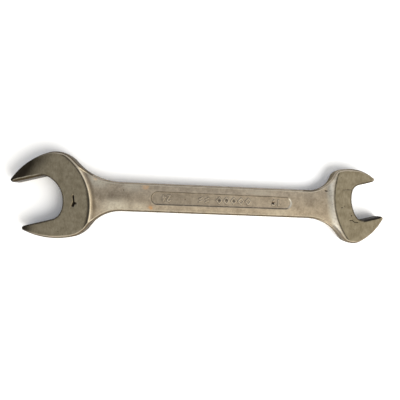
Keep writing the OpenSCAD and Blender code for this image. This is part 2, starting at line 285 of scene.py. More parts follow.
@dataclass
class Head:
    """One head: a jaw between two horns, closed towards the handle by a back arc.

    Attributes:
        node: The CAD node that this is.
        wall: Thickness of each horn beside the jaw.
        shoulder_back: How far each shoulder's centre lies behind the head's own.
        flank_angle: Where each horn's flank leaves its shoulder, in degrees.
        rim_w: Width of the raised rim along the back.
        rim_off: How far the rim's outer edge lies inside the back arc.
        bloom: How much the ground face has darkened.
        painted_cove_highlight: Strength of the painted highlight in the cove.
        painted_cove_shade: Strength of the painted shade in the cove and at the foot of the rim.
        full_jaw: How the jaw face on the full side is broken.
        turn: Direction of the mouth, in radians.
        at: The head's place, from the frame.
        half_t: Half its thickness, from the frame.
        rim_drop: How far the rim falls away from the face.
    """

    node: str
    jaw_w: float
    reach: float
    tip_r: float
    wall: dict[Side, float]
    shoulder_r: dict[Side, float]
    shoulder_back: dict[Side, float]
    flank_angle: dict[Side, float]
    back_r: float
    seat_depth: float
    seat_r: float
    seat_off: float
    corner_r: dict[Side, float]
    cove_r: float
    rim_w: float
    rim_off: float
    bloom: float
    painted_cove_highlight: float
    painted_cove_shade: float
    full_jaw: Edge
    turn: float
    at: Points = field(default_factory=lambda: np.zeros(2))
    half_t: float = 0.0
    rim_drop: float = 0.45

    def shoulder(self, s: Side) -> Points:
        """Centre of a shoulder's arc."""
        return np.array([-self.shoulder_back[s], s * (self.jaw_w / 2 + self.wall[s] - self.shoulder_r[s])])

    def tip(self, s: Side) -> Points:
        """Centre of a horn tip's arc."""
        return np.array([self.reach - self.tip_r, s * (self.jaw_w / 2 + self.tip_r)])

    def seat(self) -> Points:
        """Centre of the seat's arc."""
        return np.array([self.seat_r - self.seat_depth, self.seat_off])

    def corner(self, s: Side) -> Points:
        """Centre of the arc between a jaw face and the seat.

        Args:
            s: The side of the head.

        Returns:
            The centre, from which the arc touches the face and the seat's arc.
        """
        v = s * (self.jaw_w / 2 - self.corner_r[s])
        k = self.seat_r - self.corner_r[s]
        c = self.seat()
        return np.array([c[0] - math.sqrt(k * k - (v - c[1]) ** 2), v])

    def flank(self, s: Side) -> tuple[Points, Points, Points]:
        """The arc that touches a shoulder at its leaving angle and also touches the tip.

        Args:
            s: The side of the head.

        Returns:
            The arc's centre, its start on the shoulder and its end on the tip.
        """
        angle = math.radians(self.flank_angle[s])
        d = np.array([math.cos(angle), s * math.sin(angle)])
        w = self.tip(s) - self.shoulder(s)
        k = self.shoulder_r[s] - self.tip_r
        shift = (w @ w - k * k) / (2.0 * (w @ d - k))
        centre = self.shoulder(s) + shift * d
        f = self.shoulder_r[s] - shift
        end = centre + (self.tip(s) - centre) * f / (f - self.tip_r)
        return centre, self.shoulder(s) + self.shoulder_r[s] * d, end

    def back(self) -> Points:
        """Centre of the back arc.

        Returns:
            The centre, from which the arc touches both shoulders from outside.
        """
        a, b = self.shoulder(Side.FULL), self.shoulder(Side.SLIM)
        ra = self.back_r - self.shoulder_r[Side.FULL]
        rb = self.back_r - self.shoulder_r[Side.SLIM]
        gap = length(b - a)
        e = (b - a) / gap
        along = (ra * ra - rb * rb + gap * gap) / (2.0 * gap)
        return a + e * along + np.array([e[1], -e[0]]) * math.sqrt(ra * ra - along * along)

    def extent(self) -> float:
        """How far the head reaches along the handle.

        Returns:
            The distance from the head's place to the end of its full horn.
        """
        t = self.tip(Side.FULL)
        lean = math.radians(LEAN)
        return math.cos(lean) * t[0] - math.sin(lean) * t[1] + self.tip_r

    def world(self, points: Points) -> Points:
        """Points of the head's plane in the frame."""
        return placed(points, self.at, self.turn)

    def half_edge(self, s: Side, step: float) -> list[tuple[Points, Edge]]:
        """One half of the outline, from the shoulder round the tip and along the jaw to the seat.

        Args:
            s: The side of the head.
            step: The distance between points.

        Returns:
            Stretches of points with how each was made.
        """
        centre, start, end = self.flank(s)
        t, k, c = self.tip(s), self.corner(s), self.seat()
        face = s * self.jaw_w / 2
        seat_end = c + (k - c) * self.seat_r / length(k - c)
        jaw_x = np.arange(t[0], k[0], -step)
        jaw = self.full_jaw if s is Side.FULL else Edge.JAW
        return [
            (arc(centre, start, end, step), Edge.FORGED),
            (arc(t, end, np.array([t[0], face]), step * 0.4), Edge.TIP),
            (np.c_[jaw_x, np.full(len(jaw_x), face)], jaw),
            (arc(k, np.array([k[0], face]), seat_end, step), Edge.JAW),
        ]

    def from_back(self, points: Points) -> Points:
        """How far points of the frame lie outside the back arc, negative inside it."""
        off = points - self.world(self.back())
        return np.hypot(off[:, 0], off[:, 1]) - self.back_r + self.rim_off

    def is_near(self, points: Points) -> Points:
        """Whether points of the frame lie on this head's side of the handle's middle."""
        return (points[:, 0] < 0.0) if self.at[0] < 0.0 else (points[:, 0] >= 0.0)


def large_head() -> Head:
    """The head with the 24 mm jaw."""
    return Head(
        node="large_head", jaw_w=24.2, reach=21.2, tip_r=1.4,
        wall={Side.FULL: 11.9, Side.SLIM: 11.9}, shoulder_r={Side.FULL: 13.4, Side.SLIM: 13.9},
        shoulder_back={Side.FULL: 3.0, Side.SLIM: 4.6}, flank_angle={Side.FULL: 87.2, Side.SLIM: 88.4},
        back_r=36.0, seat_depth=4.1, seat_r=15.0, seat_off=0.5, corner_r={Side.FULL: 4.8, Side.SLIM: 6.9},
        cove_r=2.5, rim_w=0.6, rim_off=1.05, bloom=0.11, painted_cove_highlight=0.0, painted_cove_shade=0.7, full_jaw=Edge.BRIGHT_BEVEL,
        turn=math.radians(180.0 + LEAN),
    )


def small_head() -> Head:
    """The head with the 19 mm jaw."""
    return Head(
        node="small_head", jaw_w=19.2, reach=13.4, tip_r=1.4,
        wall={Side.FULL: 11.7, Side.SLIM: 10.7}, shoulder_r={Side.FULL: 8.0, Side.SLIM: 5.6},
        shoulder_back={Side.FULL: 4.0, Side.SLIM: 3.6}, flank_angle={Side.FULL: 76.4, Side.SLIM: 90.0},
        back_r=42.5, seat_depth=1.8, seat_r=17.9, seat_off=-1.1, corner_r={Side.FULL: 3.5, Side.SLIM: 4.6},
        cove_r=3.4, rim_w=0.7, rim_off=1.2, bloom=0.05, painted_cove_highlight=1.0, painted_cove_shade=0.0, full_jaw=Edge.DARK_BEVEL,
        turn=math.radians(LEAN),
    )


# ---------------------------------------------------------------- the handle


@dataclass
class Handle:
    """The handle: a crowned bar with a sunk panel in each face and a neck at each side of each head."""

    w_large: float = 16.4
    w_small: float = 15.6
    half_t: float = 3.5
    edge_half_t: float = 2.5
    necks: dict[str, float] = field(default_factory=lambda: {
        "large_full": 35.0, "large_slim": 21.5, "small_full": 22.5, "small_slim": 14.0,
    })

    def edge_line(self, large: Head, small: Head, y: int) -> tuple[Points, Points]:
        """The handle's edge on one side, from under the large head to under the small one."""
        return (np.array([large.at[0], y * self.w_large / 2]), np.array([small.at[0], y * self.w_small / 2]))

    def neck(self, head: Head, s: Side, ends: tuple[Points, Points], side: int, radius: float,
             step: float) -> tuple[Points, Points]:
        """The arc that touches the handle's edge and a shoulder.

        Args:
            head: The head that the neck leads to.
            s: The side of that head.
            ends: The edge's points, the second one at the head.
            side: 1 where the arc's centre is to the left of the edge.
            radius: The arc's radius.
            step: The distance between points.

        Returns:
            The arc's points from the edge to the shoulder, and the shoulder's centre.
        """
        e0, e1 = ends
        d = (e1 - e0) / length(e1 - e0)
        out = side * np.array([-d[1], d[0]])
        c = head.world(head.shoulder(s))
        q = e0 + out * radius
        w = c - q
        reach = head.shoulder_r[s] + radius
        along = w @ d - math.sqrt(reach * reach - (w @ w - (w @ d) ** 2))
        n = q + d * along
        on_edge = e0 + d * ((n - e0) @ d)
        on_shoulder = c + (n - c) * head.shoulder_r[s] / length(n - c)
        return arc(n, on_edge, on_shoulder, step), c

    def crown(self, points: Points) -> Points:
        """Half the handle's thickness over the plane, without its panel.

        Args:
            points: Places in the plane.

        Returns:
            The half thickness, which falls from the middle line to the edges and less so in the necks.
        """
        x, y = points.T
        half_w = np.interp(x, [-78.0, 86.0], [self.w_large / 2, self.w_small / 2])
        spread = 1.0 + 0.55 * (1.0 - smooth(x, -62.0, -40.0)) + 0.45 * smooth(x, 58.0, 76.0)
        v = np.clip(np.abs(y) / (half_w * spread), 0.0, 1.0)
        return self.edge_half_t + (self.half_t - self.edge_half_t) * (1.0 - v ** 2.2)


@dataclass
class Panel:
    """The long slot with round ends that is sunk in the middle of the handle."""

    length: float = 77.5
    w_large: float = 7.4
    w_small: float = 6.7
    middle_x: float = 12.8
    depth: float = 0.6
    wall: float = 0.6

    def ends(self) -> tuple[float, float, float, float]:
        """The two end discs, as their places along X and their radii."""
        r0, r1 = self.w_large / 2, self.w_small / 2
        return self.middle_x - self.length / 2 + r0, self.middle_x + self.length / 2 - r1, r0, r1

    def distance(self, points: Points) -> Points:
        """Signed distance to the panel's edge.

        Args:
            points: Places in the plane.

        Returns:
            One distance for each, negative inside the panel.
        """
        x0, x1, r0, r1 = self.ends()
        t = np.clip((points[:, 0] - x0) / (x1 - x0), 0.0, 1.0)
        off = points - np.c_[x0 + t * (x1 - x0), np.zeros(len(points))]
        return np.hypot(off[:, 0], off[:, 1]) - (r0 + t * (r1 - r0))

    def ring(self, offset: float, step: float) -> Points:
        """Points all round the panel.

        Args:
            offset: How far they lie outside its edge.
            step: The largest distance between two points.

        Returns:
            The points.
        """
        x0, x1, r0, r1 = self.ends()
        r0, r1 = r0 + offset, r1 + offset
        turn0 = np.linspace(0.5 * math.pi, 1.5 * math.pi, max(8, int(math.pi * r0 / step)))
        turn1 = np.linspace(-0.5 * math.pi, 0.5 * math.pi, max(8, int(math.pi * r1 / step)))
        t = np.linspace(0.0, 1.0, int((x1 - x0) / step))[1:-1]
        sides = [np.c_[x0 + t * (x1 - x0), s * (r0 + t * (r1 - r0))] for s in (-1.0, 1.0)]
        caps = [np.c_[x0 + r0 * np.cos(turn0), r0 * np.sin(turn0)],
                np.c_[x1 + r1 * np.cos(turn1), r1 * np.sin(turn1)]]
        return np.vstack(sides + caps)


@dataclass
class Marks:
    """Raised size figures, and plain zigzags and a row of lozenges between them, on the panel's floor.

    Attributes:
        inset: From a figure pair's middle to the panel's end.
        zigzags: The zigzags' places along X.
        zigzag_half: Half a zigzag's length and width.
        lozenges: The first lozenge's place, the pitch and how many there are.
        lozenge_half: Half a lozenge's length and width.
        dirty_lozenges: How many of them, from the first, are filled with dirt.
    """

    height: float = 3.8
    width: float = 2.1
    stroke: float = 0.6
    rise: float = 0.3
    panel: Panel = field(default_factory=Panel)
    inset: float = 8.5
    zigzags: tuple[float, ...] = (1.4, 5.0)
    zigzag_half: tuple[float, float] = (0.9, 1.2)
    lozenges: tuple[float, float, int] = (11.6, 4.0, 5)
    lozenge_half: tuple[float, float] = (1.45, 1.65)
    dirty_lozenges: int = 3

    def lozenge_places(self) -> list[float]:
        """The lozenges' places along X."""
        first, pitch, count = self.lozenges
        return [first + i * pitch for i in range(count)]

    def figure(self, digit: int) -> list[tuple[Points, Points]]:
        """The strokes of one figure.

        Args:
            digit: 1, 2, 4 or 9.

        Returns:
            The ends of each stroke, in a box of the figure's width and height.
        """
        w, h, s = self.width, self.height, self.stroke
        r = (w - s) / 2
        top = np.array([w / 2, h - w / 2])

        def loop(a0: float, a1: float) -> list[tuple[Points, Points]]:
            """A round stroke as short straight ones."""
            turns = np.radians(np.linspace(a0, a1, max(3, int(abs(a1 - a0) / 22.5))))
            ends = [top + r * unit(a) for a in turns]
            return list(zip(ends[:-1], ends[1:]))

        def line(x0: float, y0: float, x1: float, y1: float) -> tuple[Points, Points]:
            """A straight stroke."""
            return np.array([x0, y0]), np.array([x1, y1])

        half = s / 2
        if digit == 1:
            return [line(w / 2, half, w / 2, h - half), line(w / 2, h - half, w * 0.2, h - w * 0.45)]
        if digit == 2:
            return loop(180.0, -30.0) + [line(w - half, h - w * 0.7, half, half),
                                         line(half, half, w - half, half)]
        if digit == 4:
            return [line(w * 0.75, half, w * 0.75, h - half), line(w * 0.7, h - half, half, h * 0.3),
                    line(half, h * 0.3, w - half, h * 0.3)]
        return loop(0.0, 360.0) + [line(w - half, h - w / 2, w * 0.4, half)]

    def strokes(self) -> list[tuple[Points, Points]]:
        """Every stroke in its place.

        Returns:
            The ends of each stroke; the figures read from the far side of the handle.
        """
        pitch = self.width + self.stroke
        left = self.panel.middle_x - self.panel.length / 2 + self.inset
        right = self.panel.middle_x + self.panel.length / 2 - self.inset
        out = []
        for x, digits in ((left, (2, 4)), (right, (1, 9))):
            for place, digit in zip((-0.5, 0.5), digits):
                corner = np.array([place * pitch - self.width / 2, -self.height / 2])
                out += [(np.array([x, 0.0]) - a - corner, np.array([x, 0.0]) - b - corner)
                        for a, b in self.figure(digit)]
        half_x, half_y = self.zigzag_half
        for x in self.zigzags:
            bends = [np.array([x + dx * half_x, dy * half_y / 3])
                     for dx, dy in ((1, 3), (-1, 1), (1, -1), (-1, -3))]
            out += list(zip(bends[:-1], bends[1:]))
        half_x, half_y = self.lozenge_half
        for x in self.lozenge_places():
            ring = [np.array([x + half_x * dx, half_y * dy]) for dx, dy in ((1, 0), (0, 1), (-1, 0), (0, -1))]
            out += list(zip(ring, ring[1:] + ring[:1]))
        return out

    def distance(self, points: Points) -> Points:
        """How far points are from the marks.

        Args:
            points: Places in the plane.

        Returns:
            The distance to the nearest stroke's middle line, or FAR where there is none about.
        """
        near = np.full(len(points), FAR)
        for a, b in self.strokes():
            close = np.abs(points - np.array([(a[0] + b[0]) / 2, 0.0])).max(1) < STROKE_REACH
            near[close] = np.minimum(near[close], segment_distance(points[close], a, b))
        return near

    def spans(self) -> list[tuple[float, float]]:
        """Stretches along X that hold strokes.

        Returns:
            The first and last X of each stretch.
        """
        edge = self.stroke
        xs = sorted((min(a[0], b[0]) - edge, max(a[0], b[0]) + edge) for a, b in self.strokes())
        out = [list(xs[0])]
        for low, high in xs[1:]:
            if low <= out[-1][1] + 0.5:
                out[-1][1] = max(out[-1][1], high)
            else:
                out.append([low, high])
        return [(low, high) for low, high in out]


@dataclass(frozen=True)
class Blemish:
    """A gouge, pit or scratch: a short chain of strokes sunk in the upper surface."""

    path: tuple[tuple[float, float], ...]
    half_w: float
    depth: float
    dark: float = 1.0

    def distance(self, points: Points) -> Points:
        """How far points are from the blemish's middle line.

        Args:
            points: Places in the plane.

        Returns:
            One distance for each.
        """
        ends = [np.array(p) for p in self.path]
        near = np.full(len(points), FAR)
        for a, b in zip(ends, ends[1:] or ends):
            near = np.minimum(near, segment_distance(points, a, b))
        return near

    def box(self) -> Box:
        """The blemish's box with a margin."""
        (x0, y0), (x1, y1) = np.min(self.path, axis=0), np.max(self.path, axis=0)
        m = self.half_w + 0.5
        return x0 - m, x1 + m, y0 - m, y1 + m


@dataclass(frozen=True)
class Patch:
    """A soft spot on a face: its middle, where it starts and ends to fade, and how strong it is.

    Attributes:
        squash: Below 1, how much the spot is drawn out along X.
    """

    x: float
    y: float
    core: float
    edge: float
    strength: float = 1.0
    squash: float = 1.0

    def over(self, points: Points) -> Points:
        """The spot's strength at each point."""
        away = np.hypot((points[:, 0] - self.x) * self.squash, points[:, 1] - self.y)
        return self.strength * (1.0 - smooth(away, self.core, self.edge))


# ---------------------------------------------------------------- the forging's surface


class Mask(Enum):
    """The forging's own masks, each by the name of the mesh attribute that holds it."""

    # The wear mask holds rubbed metal and painted highlights. The grime and tarnish masks hold old oil, dark
    # pits and the dulled ground face as well as painted shade. The flank mask is painted shade on the steep
    # sides.
    WEAR_AND_SHEEN = "wear_and_sheen"
    GRIME_AND_SHADE = "grime_and_shade"
    RUST = "rust"
    SHADE_AND_TARNISH = "shade_and_tarnish"
    FLANK = "flank"


@dataclass
class PatinaAndLight:
    """A value from 0 to 1 for every mask at a set of points."""

    count: int
    layers: dict[Mask, Points] = field(init=False)

    def __post_init__(self) -> None:
        """Starts every mask at 0."""
        self.layers = {mask: np.zeros(self.count) for mask in Mask}

    def lay(self, mask: Mask, values: Points) -> None:
        """Lays values on a mask wherever they are stronger than what it holds."""
        self.layers[mask] = np.maximum(self.layers[mask], values)

    def fade(self, factor: Points, *masks: Mask) -> None:
        """Weakens some masks by a factor."""
        for mask in masks:
            self.layers[mask] = self.layers[mask] * factor


@dataclass
class BrokenEdge:
    """The outline, its outward directions, and its edge's sizes and masks at every point."""

    points: Points
    outward: Points
    kinds: list[Edge]
    soft: Points
    drop: Points
    flash: Points
    draft: Points
    wear_and_sheen: Points
    dirt_and_shade: Points
    shade_and_tarnish: Points
    flank: Points

    def inward(self, distance: Points) -> Points:
        """The outline moved inwards by a distance at each point."""
        return self.points - self.outward * distance[:, None]


# ---------------------------------------------------------------- the forging's mesh


@dataclass
class Forging:
    """The whole spanner as one closed mesh, from its outline, its edges and the relief of its faces.

    Attributes:
        mid_z: Height of the middle plane, taken from the frame.
        step: Distance between points of the outline.
        inset: How far the mesh stays inside the outline.
        coarse_pitch: Distance between points on the plain parts of a face.
        mark_pitch: The same round the raised marks.
        pit_pitch: The same round the blemishes.
        blemishes: Gouges, pits and scratches of the upper face.
        painted_crown_highlights: Painted highlights on the sloping sides of the handle's crown.
        rust_spots: Where rust shows through the plate of the upper face.
    """

    large: Head = field(default_factory=large_head)
    small: Head = field(default_factory=small_head)
    handle: Handle = field(default_factory=Handle)
    panel: Panel = field(default_factory=Panel)
    marks: Marks = field(default_factory=Marks)
    mid_z: float = 0.0
    step: float = 0.42
    inset: float = 0.025
    coarse_pitch: float = 0.95
    mark_pitch: float = 0.17
    pit_pitch: float = 0.13
    blemishes: tuple[Blemish, ...] = (
        Blemish(((-67.97, -0.6), (-67.75, -2.3), (-67.6, -3.4), (-67.65, -5.2), (-67.9, -6.2)), 0.62, 0.3),
        Blemish(((-68.0, -5.9), (-67.6, -4.7), (-67.0, -4.6)), 1.0, 0.3),
        Blemish(((79.3, 8.5), (82.0, 8.75), (84.8, 8.75)), 0.18, 0.06, 0.8),
        Blemish(((83.7, -8.1), (84.9, -7.9), (86.2, -8.9), (88.2, -9.1)), 0.26, 0.1, 1.0),
        Blemish(((79.0, -1.3), (79.2, -1.2)), 0.36, 0.1, 0.9),
        Blemish(((80.4, -0.2), (80.4, -0.6)), 0.16, 0.08, 0.7),
        Blemish(((84.5, -5.4), (84.5, -5.5)), 0.4, 0.1, 0.9),
        Blemish(((91.6, -8.6), (92.0, -8.7)), 0.2, 0.08, 0.7),
        Blemish(((70.0, 7.7), (70.9, 7.6)), 0.45, 0.14, 0.9),
        Blemish(((41.2, -0.3), (41.5, -0.25)), 0.72, 0.2),
        Blemish(((-7.3, -0.1), (-7.1, -0.2)), 0.34, 0.12, 0.8),
        Blemish(((-41.0, 4.2), (-41.1, 3.2)), 0.2, 0.1, 0.7),
        Blemish(((-53.5, 9.6), (-53.2, 8.9)), 0.3, 0.1, 0.6),
    )
    painted_crown_highlights: tuple[Patch, ...] = (
        Patch(-55.0, 9.0, 1.1, 6.6, 0.95, 0.6), Patch(-45.0, -6.0, 1.2, 7.2, 0.9, 0.6),
        Patch(-33.0, -6.0, 0.9, 5.4, 0.5, 0.6), Patch(-36.0, 6.5, 0.9, 5.4, 0.5, 0.6),
        Patch(34.0, 5.0, 0.9, 5.4, 0.35, 0.6), Patch(45.0, -5.5, 1.0, 6.0, 0.35, 0.6),
    )
    rust_spots: tuple[Patch, ...] = (
        Patch(-29.0, 6.3, 0.52, 2.6), Patch(-26.0, -5.6, 0.44, 2.2), Patch(-56.5, 9.5, 0.32, 1.6),
        Patch(41.4, -0.1, 0.2, 1.0),
    )

    def place(self) -> None:
        """Takes thicknesses and places from the frame's boxes."""
        low, high = (np.array(v) / MM for v in CAD_BOX)
        self.mid_z = (low[2] + high[2]) / 2
        for head, end, inwards, across in ((self.large, low[0], 1.0, -1.0), (self.small, high[0], -1.0, 1.1)):
            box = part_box(head.node)
            head.half_t = (box[1][2] - box[0][2]) / MM / 2
            head.at = np.array([end + inwards * head.extent(), across])

    def outline(self) -> tuple[Points, list[Edge]]:
        """The spanner's edge seen from above.

        Returns:
            The edge's points, counter-clockwise, and how the edge was made at each.
        """
        step, handle = self.step, self.handle
        upper = handle.edge_line(self.large, self.small, 1)
        lower = handle.edge_line(self.large, self.small, -1)
        necks = handle.necks
        top_l, c1 = handle.neck(self.large, Side.FULL, upper[::-1], -1, necks["large_full"], step)
        low_l, c2 = handle.neck(self.large, Side.SLIM, lower[::-1], 1, necks["large_slim"], step)
        top_s, c3 = handle.neck(self.small, Side.SLIM, upper, 1, necks["small_slim"], step)
        low_s, c4 = handle.neck(self.small, Side.FULL, lower, -1, necks["small_full"], step)

        def straight(a: Points, b: Points) -> Points:
            """Points on the handle's edge between two necks."""
            count = int(length(b - a) / step)
            return a + (b - a) * np.linspace(0.0, 1.0, count)[1:-1, None]

        def head_edge(head: Head) -> list[tuple[Points, Edge]]:
            """A head's stretches, from its slim shoulder round both horns to its full one."""
            slim, full = head.half_edge(Side.SLIM, step), head.half_edge(Side.FULL, step)
            seat = arc(head.seat(), slim[-1][0][-1], full[-1][0][-1], step)
            chain = slim + [(seat, Edge.JAW)] + [(p[::-1], e) for p, e in reversed(full)]
            return [(head.world(p), e) for p, e in chain]

        def forged(*runs: Points) -> list[tuple[Points, Edge]]:
            """Stretches of forged edge."""
            return [(run, Edge.FORGED) for run in runs]

        large, small = head_edge(self.large), head_edge(self.small)
        upper_run = forged(arc(c1, large[-1][0][-1], top_l[-1], step), top_l[::-1],
                           straight(top_l[0], top_s[0]), top_s, arc(c3, top_s[-1], small[0][0][0], step))
        lower_run = forged(arc(c4, small[-1][0][-1], low_s[-1], step), low_s[::-1],
                           straight(low_s[0], low_l[0]), low_l, arc(c2, low_l[-1], large[0][0][0], step))
        parts = large + upper_run + small + lower_run

        points = np.vstack([p for p, _ in parts])
        kinds = [e for p, e in parts for _ in p]
        apart = np.hypot(*(points - np.roll(points, 1, axis=0)).T) > SAME_POINT
        points = points[apart]
        kinds = [k for k, keep in zip(kinds, apart) if keep]
        x, y = points.T
        if float(np.sum(x * np.roll(y, -1) - np.roll(x, -1) * y)) < 0.0:
            points, kinds = points[::-1], kinds[::-1]
        return points, kinds

    def shade_and_tarnish(self, points: Points) -> Points:
        """Painted shade that darkens the large head's horns towards their tips and outer edges.

        Args:
            points: Places in the plane.

        Returns:
            A value from 0 to 1 for each, which is 0 off the head's face.
        """
        head = self.large

        def from_tip(s: Side) -> Points:
            """How far the points are from a horn's tip."""
            return np.hypot(*(points - head.world(head.tip(s))).T)

        full, slim = from_tip(Side.FULL), from_tip(Side.SLIM)
        centre, _, rim = (head.world(p) for p in head.flank(Side.FULL))
        inward = length(rim - centre) - np.hypot(*(points - centre).T)
        horn = 0.72 * (1.0 - smooth(full, 1.0, 27.0)) ** 1.1
        outer = 0.62 * (1.0 - smooth(inward, 0.5, 9.0)) * (1.0 - smooth(full, 16.0, 34.0))
        low_horn = 0.7 * (1.0 - smooth(slim, 0.0, 7.0)) + 0.25 * (1.0 - smooth(slim, 4.0, 22.0))
        off_face = head.from_back(points) > -0.2
        return np.where(off_face, 0.0, np.clip(horn + outer + low_horn, 0.0, 0.94))

    def sink_panel(self, points: Points, d: Points, h: Points, patina_and_light: PatinaAndLight) -> Points:
        """Sinks the panel in a face, darker along the foot of its walls, with a painted highlight on the wall
        at one end.

        Args:
            points: Places in the plane.
            d: Their distances to the panel's edge.
            h: The half thickness before.
            patina_and_light: The masks to lay on.

        Returns:
            The half thickness after.
        """
        floor = self.handle.half_t - self.panel.depth + 0.012 * waves(points, 4.0, 2.0)
        sunk = floor + (h - floor) * smooth(d, -self.panel.wall, 0.0)
        # The end wall nearest the small head gets a painted highlight in place of the darker foot; the lip
        # round the panel is a little paler.
        bright_end = smooth(points[:, 0], 49.0, 50.5)
        patina_and_light.lay(Mask.GRIME_AND_SHADE, bump(d, -0.2, 0.55) * (1.0 - bright_end))
        patina_and_light.lay(Mask.WEAR_AND_SHEEN, bump(d, -0.2, 0.7) * bright_end)
        patina_and_light.lay(Mask.WEAR_AND_SHEEN, 0.15 * bump(d, 0.4, 0.4))
        return np.where(d < 0.0, sunk, h) + 0.02 * bump(d, 0.35, 0.4)

    def raise_marks(self, points: Points, d: Points, h: Points, patina_and_light: PatinaAndLight) -> Points:
        """Raises the marks on the panel's floor, with a darker ring round them.

        Args:
            points: Places in the plane.
            d: Their distances to the panel's edge.
            h: The half thickness before.
            patina_and_light: The masks to lay on.

        Returns:
            The half thickness after.
        """
        m = self.marks.distance(points)
        on_floor = 1.0 - smooth(d, -0.6, -0.2)
        patina_and_light.lay(Mask.GRIME_AND_SHADE, 0.8 * on_floor * bump(m, 0.45, 0.3))
        patina_and_light.lay(Mask.WEAR_AND_SHEEN, 0.2 * on_floor * (1.0 - smooth(m, 0.1, 0.3)))
        for x in self.marks.lozenge_places()[:self.marks.dirty_lozenges]:
            patina_and_light.lay(Mask.GRIME_AND_SHADE, Patch(x, 0.3, 0.5, 1.2, 0.9).over(points))
        return h + on_floor * self.marks.rise * 0.8 * (1.0 - smooth(m, 0.1, 0.5))

    def raise_head(self, head: Head, points: Points, h: Points, patina_and_light: PatinaAndLight) -> Points:
        """Raises a head's face out of the handle, with its groove, its rim and its cove.

        Args:
            head: The head.
            points: Places in the plane.
            h: The half thickness before.
            patina_and_light: The masks to lay on.

        Returns:
            The half thickness after.
        """
        near = head.is_near(points)
        q = head.from_back(points)
        foot = -head.rim_w - 0.45
        face = head.half_t - 0.012 * np.abs(waves(points, 14.0, 3.0)) * smooth(-q, 0.0, 4.0)
        across = np.clip((q + head.rim_w) / head.rim_w, 0.0, 1.0)
        rim = face - 0.05 * bump(q, foot, 0.4) - head.rim_drop * (0.45 * across + 0.55 * across ** 3)
        reach = np.clip((head.cove_r - q) / head.cove_r, 0.0, 1.0)
        cove = h + np.maximum(head.half_t - head.rim_drop - h, 0.0) * reach ** 2.3
        patina_and_light.fade(np.where(near & (q < 0.2), 0.0, 1.0), Mask.GRIME_AND_SHADE, Mask.WEAR_AND_SHEEN)
        # Along the back: a darker line at the foot of the rim; the rim rubbed bright and painted as a
        # highlight; a painted highlight in the small head's cove; painted shade in the large head's cove and
        # at the foot of its rim, stronger towards the lower side.
        low_side = 0.35 + 0.65 * (1.0 - smooth(points[:, 1], -4.0, 9.0))
        for mask, strength, middle, half in (
            (Mask.GRIME_AND_SHADE, 0.95, foot, 0.7),
            (Mask.WEAR_AND_SHEEN, 0.9, -head.rim_w * 0.5, head.rim_w * 0.8),
            (Mask.WEAR_AND_SHEEN, head.painted_cove_highlight, 1.2, 2.6),
            (Mask.SHADE_AND_TARNISH, head.painted_cove_shade, 1.1, 1.9),
            (Mask.SHADE_AND_TARNISH, 1.15 * head.painted_cove_shade * low_side, foot - 0.3, 1.25),
        ):
            patina_and_light.lay(mask, np.where(near, strength * bump(q, middle, half), 0.0))
        patina_and_light.lay(Mask.SHADE_AND_TARNISH, np.where(near & (q < -head.rim_w - 0.1), head.bloom, 0.0))
        return np.where(near, np.where(q < 0.0, rim, cove), h)

    def age(self, points: Points, d: Points, patina_and_light: PatinaAndLight) -> None:
        """Lays broad painted highlights and painted shade on the handle and the horns, with some broad
        darkening of the handle.

        Args:
            points: Places in the plane.
            d: Their distances to the panel's edge.
            patina_and_light: The masks to lay on.
        """
        x, y = points.T
        clear = np.ones(len(points))
        for head in (self.large, self.small):
            clear = clear * np.where(head.is_near(points) & (head.from_back(points) < 1.5), 0.0, 1.0)
        # Painted highlights on the sloping sides of the crown near each head.
        for patch in self.painted_crown_highlights:
            patina_and_light.lay(Mask.WEAR_AND_SHEEN, np.where(d > 0.3, patch.over(points), 0.0) * clear)
        # Painted shade on the large head's horns and along the middle of the handle near the large head.
        patina_and_light.lay(Mask.SHADE_AND_TARNISH, self.shade_and_tarnish(points))
        patina_and_light.lay(Mask.SHADE_AND_TARNISH, 0.3 * bump(x, -46.0, 24.0) * bump(y, 0.6, 4.6) * (d > 0.0) * clear)
        # A faint darkening across the handle near the small head, and over the panel's floor towards the
        # large head.
        patina_and_light.lay(Mask.SHADE_AND_TARNISH, 0.16 * bump(x, 64.0, 14.0) * bump(y, 0.5, 9.0) * clear)
        patina_and_light.lay(Mask.SHADE_AND_TARNISH, 0.16 * (1.0 - smooth(x, -15.0, 25.0)) * (d < 0.0))

    def relief(self, points: Points, upper: bool) -> tuple[Points, PatinaAndLight]:
        """Half thickness of the forging over the plane.

        Args:
            points: Places in the plane.
            upper: True for the marked upper face.

        Returns:
            The half thickness and the masks.
        """
        patina_and_light = PatinaAndLight(len(points))
        d = self.panel.distance(points)
        h = self.handle.crown(points) + 0.035 * waves(points, 9.0, 1.0 if upper else 5.0)
        h = self.sink_panel(points, d, h, patina_and_light)
        if upper:
            h = self.raise_marks(points, d, h, patina_and_light)
        for head in (self.large, self.small):
            h = self.raise_head(head, points, h, patina_and_light)
        self.age(points, d, patina_and_light)
        if upper:
            ragged = 0.06 * waves(points, 0.5, 4.0)
            for spot in self.blemishes:
                cut = 1.0 - smooth(spot.distance(points) + ragged, spot.half_w * 0.4, spot.half_w * 1.25)
                h = h - spot.depth * cut
                patina_and_light.lay(Mask.SHADE_AND_TARNISH, spot.dark * cut)
            for spot in self.rust_spots:
                patina_and_light.lay(Mask.RUST, spot.over(points))
        patina_and_light.fade(1.0 - patina_and_light.layers[Mask.SHADE_AND_TARNISH], Mask.WEAR_AND_SHEEN)
        return h, patina_and_light

